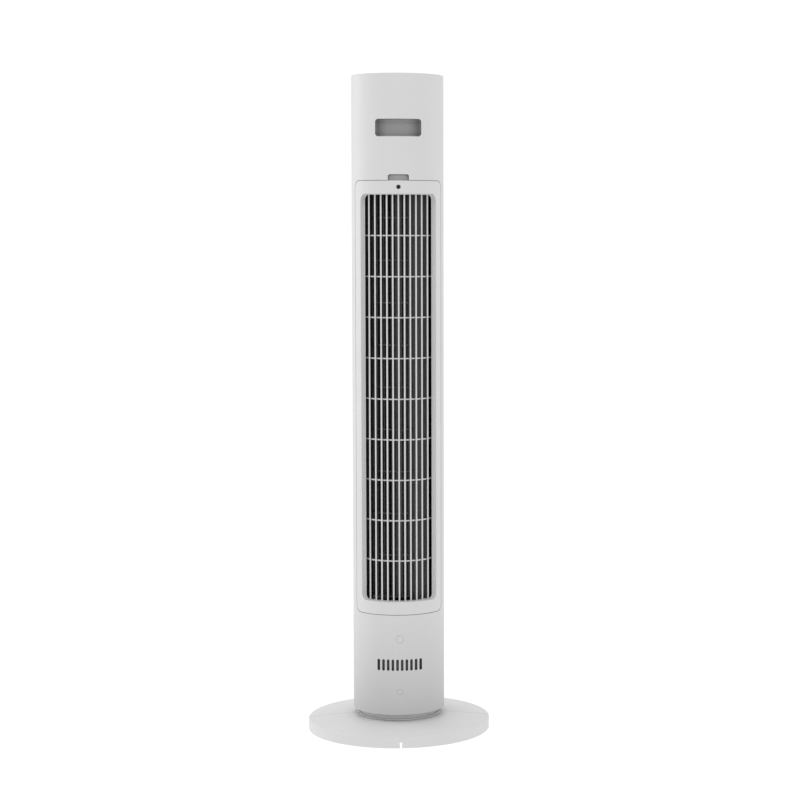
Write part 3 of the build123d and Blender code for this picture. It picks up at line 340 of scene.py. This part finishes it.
def ribbon(line, width, low, high, closed, points, faces):
    """Adds a raised line of constant width that follows flat points (x, y)."""
    count = len(line)
    first = len(points)
    for index, (x, y) in enumerate(line):
        before = line[index - 1] if index or closed else line[index]
        after = line[(index + 1) % count] if index < count - 1 or closed else line[index]
        along = Vector((after[0] - before[0], after[1] - before[1])).normalized()
        side = Vector((-along.y, along.x)) * width / 2
        for level in (low, high):
            points.append((x + side.x, y + side.y, level))
            points.append((x - side.x, y - side.y, level))
    for index in range(count if closed else count - 1):
        here = first + 4 * index
        there = first + 4 * ((index + 1) % count)
        faces.append((here + 2, there + 2, there + 3, here + 3))
        faces.append((here, here + 1, there + 1, there))
        faces.append((here + 1, here + 3, there + 3, there + 1))
        faces.append((here, there, there + 2, here + 2))
    if not closed:
        last = first + 4 * (count - 1)
        faces.append((first, first + 2, first + 3, first + 1))
        faces.append((last, last + 1, last + 3, last + 2))


def arc(centre, radius, start, end, steps=24):
    """Points along an arc, in degrees. A whole turn leaves out its last point."""
    whole = abs(end - start) >= 360
    return [
        (
            centre[0] + radius * math.cos(math.radians(start + (end - start) * step / steps)),
            centre[1] + radius * math.sin(math.radians(start + (end - start) * step / steps)),
        )
        for step in range(steps if whole else steps + 1)
    ]


def middle(name):
    """The middle of a node's box, seen from above, and the height of its top."""
    low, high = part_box(name)
    return (low[0] + high[0]) / 2, (low[1] + high[1]) / 2, high[2]


STROKE = 0.55 * MM
PRINT = 0.03 * MM
ICON_R = 2.9 * MM
PETAL_PLACE = 0.52 * ICON_R
PETAL_R = 0.46 * ICON_R
PETAL_START = -170
PETAL_END = 60
ARROW_SPREAD = 38


def key_icon(name, node, body, strokes):
    """An icon printed on a key, upright for someone at the front, +Y.
    Each stroke is its points about the key's middle, and if it is closed."""
    x, y, top = middle(node)
    points = []
    faces = []
    for line, closed in strokes:
        placed = [(x - dx, y - dy) for dx, dy in line]
        ribbon(placed, STROKE, top - PRINT, top + PRINT, closed, points, faces)
    return piece(name, points, faces, ink, body)


def petals(count):
    """Fan blades as curved strokes about a middle."""
    made = []
    for blade in range(count):
        turn = 360 * blade / count
        centre = (
            PETAL_PLACE * math.cos(math.radians(turn)),
            PETAL_PLACE * math.sin(math.radians(turn)),
        )
        made.append((arc(centre, PETAL_R, turn + PETAL_START, turn + PETAL_END, 16), False))
    return made


def arrow(tip, heading, size):
    """Two strokes that make an arrow's head."""
    ends = []
    for side in (-1, 1):
        angle = math.radians(heading + 180 + side * ARROW_SPREAD)
        ends.append((tip[0] + size * math.cos(angle), tip[1] + size * math.sin(angle)))
    return [ends[0], tip, ends[1]], False


key_icon("power_icon", "power_button", "power_key", [
    (arc((0, 0), ICON_R, 125, 415), False),
    ([(0, ICON_R * 0.15), (0, ICON_R * 1.25)], False),
])
key_icon("speed_icon", "speed_button", "speed_key", petals(4))
key_icon("swing_icon", "swing_button", "swing_key", [
    (arc((0, -ICON_R * 0.4), ICON_R, 20, 160), False),
    arrow((-ICON_R * 0.94, -ICON_R * 0.06), 250, ICON_R * 0.62),
    arrow((ICON_R * 0.94, -ICON_R * 0.06), 290, ICON_R * 0.62),
    (arc((0, -ICON_R * 0.5), ICON_R * 0.22, 0, 360, 12), True),
])
key_icon("timer_icon", "timer_button", "timer_key", [
    (arc((0, 0), ICON_R, 0, 360), True),
    ([(0, ICON_R * 0.6), (0, 0), (ICON_R * 0.45, -ICON_R * 0.2)], False),
])

# A thin ring printed round each key, and level marks behind the display
KEY_RING_R = 8.6 * MM
KEY_RING_WIDTH = 0.3 * MM
MARK_COUNT = 5
MARK_PITCH = 6 * MM
MARK_HALF_LENGTH = 1.5 * MM
MARK_DISTANCE = 15 * MM
MARK_WIDTH = 0.4 * MM
MARK_GROWTH = 0.15 * MM
panel_top = middle("top_panel")[2]
print_low = panel_top - PRINT
print_high = panel_top + PRINT
ring_points = []
ring_faces = []
for key in ("power_button", "speed_button", "swing_button", "timer_button"):
    ring = arc(middle(key)[:2], KEY_RING_R, 0, 360, 48)
    ribbon(ring, KEY_RING_WIDTH, print_low, print_high, True, ring_points, ring_faces)
lens_x, lens_y = middle("display_lens")[:2]
mark_y = lens_y - MARK_DISTANCE
for level in range(MARK_COUNT):
    mark_x = lens_x - (level - MARK_COUNT // 2) * MARK_PITCH
    mark = [(mark_x - MARK_HALF_LENGTH, mark_y), (mark_x + MARK_HALF_LENGTH, mark_y)]
    mark_width = MARK_WIDTH + MARK_GROWTH * level
    ribbon(mark, mark_width, print_low, print_high, False, ring_points, ring_faces)
piece("panel_print", ring_points, ring_faces, ink, "column")

# Two seven-segment digits and a row of lamps on the display block, seen through the lens
SEGMENTS = {
    "top": ((0, 1), (1, 1)),
    "upper_right": ((1, 1), (1, 0.5)),
    "lower_right": ((1, 0.5), (1, 0)),
    "bottom": ((0, 0), (1, 0)),
    "lower_left": ((0, 0), (0, 0.5)),
    "upper_left": ((0, 0.5), (0, 1)),
    "middle": ((0, 0.5), (1, 0.5)),
}
DIGIT_CORNERS = (-6.5 * MM, 2.5 * MM)
DIGIT_WIDTH = 4.6 * MM
DIGIT_HEIGHT = 9 * MM
SLANT = 0.12
SEGMENT_ENDS = (0.12, 0.88)
SEGMENT_WIDTH = 1.0 * MM
SEGMENT_HEIGHT = 0.3 * MM
LAMP_COUNT = 4
LAMP_PLACE = 14 * MM
LAMP_PITCH = 3.2 * MM
LAMP_R = 0.5 * MM
LAMP_WIDTH = 0.9 * MM
block_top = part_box("control_board")[1][2]
segment_top = block_top + SEGMENT_HEIGHT
digit_points = []
digit_faces = []
for corner_x in DIGIT_CORNERS:
    for start, end in SEGMENTS.values():
        line = []
        for share in SEGMENT_ENDS:
            across = start[0] + (end[0] - start[0]) * share
            up = start[1] + (end[1] - start[1]) * share
            line.append((
                lens_x + corner_x + across * DIGIT_WIDTH + up * DIGIT_HEIGHT * SLANT,
                lens_y + (up - 0.5) * DIGIT_HEIGHT,
            ))
        ribbon(line, SEGMENT_WIDTH, block_top, segment_top, False, digit_points, digit_faces)
for lamp in range(LAMP_COUNT):
    dot = arc((lens_x - LAMP_PLACE - LAMP_PITCH * lamp, lens_y), LAMP_R, 0, 360, 12)
    ribbon(dot, LAMP_WIDTH, block_top, segment_top, True, digit_points, digit_faces)
piece("display_digits", digit_points, digit_faces, segment, "column")

# ---- stage ---------------------------------------------------------------------------------------------
FLOOR_Z = -0.1 * MM
FLOOR_HALF = 12
floor_corners = [
    (x * FLOOR_HALF, y * FLOOR_HALF, FLOOR_Z) for x, y in ((-1, -1), (1, -1), (1, 1), (-1, 1))
]
floor_mesh = bpy.data.meshes.new("floor")
floor_mesh.from_pydata(floor_corners, [], [(0, 1, 2, 3)])
floor = bpy.data.objects.new("floor", floor_mesh)
bpy.context.scene.collection.objects.link(floor)


def seen_and_felt(tree, kind, output_kind, seen, felt):
    """White to look at, and light of its own strength for everything else."""
    tree.nodes.clear()
    output = tree.nodes.new(output_kind)
    mix = tree.nodes.new("ShaderNodeMixShader")
    path = tree.nodes.new("ShaderNodeLightPath")
    tree.links.new(path.outputs["Is Camera Ray"], mix.inputs["Fac"])
    for socket, strength in ((1, felt), (2, seen)):
        light = tree.nodes.new(kind)
        light.inputs["Color"].default_value = (1, 1, 1, 1)
        light.inputs["Strength"].default_value = strength
        tree.links.new(light.outputs[0], mix.inputs[socket])
    tree.links.new(mix.outputs["Shader"], output.inputs["Surface"])


SEEN = 1.05
SKY = 0.94
FLOOR = 0.965
floor_material = bpy.data.materials.new("floor_white")
floor_material.use_nodes = True
seen_and_felt(floor_material.node_tree, "ShaderNodeEmission", "ShaderNodeOutputMaterial", SEEN, FLOOR)
floor_mesh.materials.append(floor_material)

world = bpy.data.worlds.new("studio")
bpy.context.scene.world = world
world.use_nodes = True
seen_and_felt(world.node_tree, "ShaderNodeBackground", "ShaderNodeOutputWorld", SEEN, SKY)

bpy.context.scene.view_settings.view_transform = "Standard"


def softbox(name, place, target, width, height, power):
    """A large area light that faces a point."""
    data = bpy.data.lights.new(name, "AREA")
    data.shape = "RECTANGLE"
    data.size = width
    data.size_y = height
    data.energy = power
    lamp = bpy.data.objects.new(name, data)
    lamp.location = place
    lamp.rotation_mode = "QUATERNION"
    lamp.rotation_quaternion = (Vector(target) - Vector(place)).to_track_quat("-Z", "Y")
    bpy.context.scene.collection.objects.link(lamp)


COLUMN_MIDDLE = (0, 0, 0.6)
softbox("left_light", (-3.0, 1.45, 1.4), COLUMN_MIDDLE, 1.6, 2.6, 27.5)
softbox("right_light", (3.0, 1.45, 0.9), COLUMN_MIDDLE, 1.6, 2.6, 8.5)
softbox("high_light", (-0.8, -2.0, 3.4), (0, 0, 0.3), 1.5, 1.5, 9)

# ---- camera --------------------------------------------------------------------------------------------
CAMERA_PLACE = (-0.0666, -3.4785, 0.8571)
HEADING = math.radians(-4.009)
UPRIGHT = math.radians(90 - 4.778)
ROLL = math.radians(0.072)
camera_data = bpy.data.cameras.new("camera")
camera_data.sensor_width = 36
camera_data.lens = 91.785
camera_data.shift_x = -0.127
camera = bpy.data.objects.new("camera", camera_data)
camera.location = CAMERA_PLACE
turn = (
    Matrix.Rotation(HEADING, 3, "Z")
    @ Matrix.Rotation(UPRIGHT, 3, "X")
    @ Matrix.Rotation(ROLL, 3, "Z")
)
camera.rotation_euler = turn.to_euler()
bpy.context.scene.collection.objects.link(camera)
bpy.context.scene.camera = camera
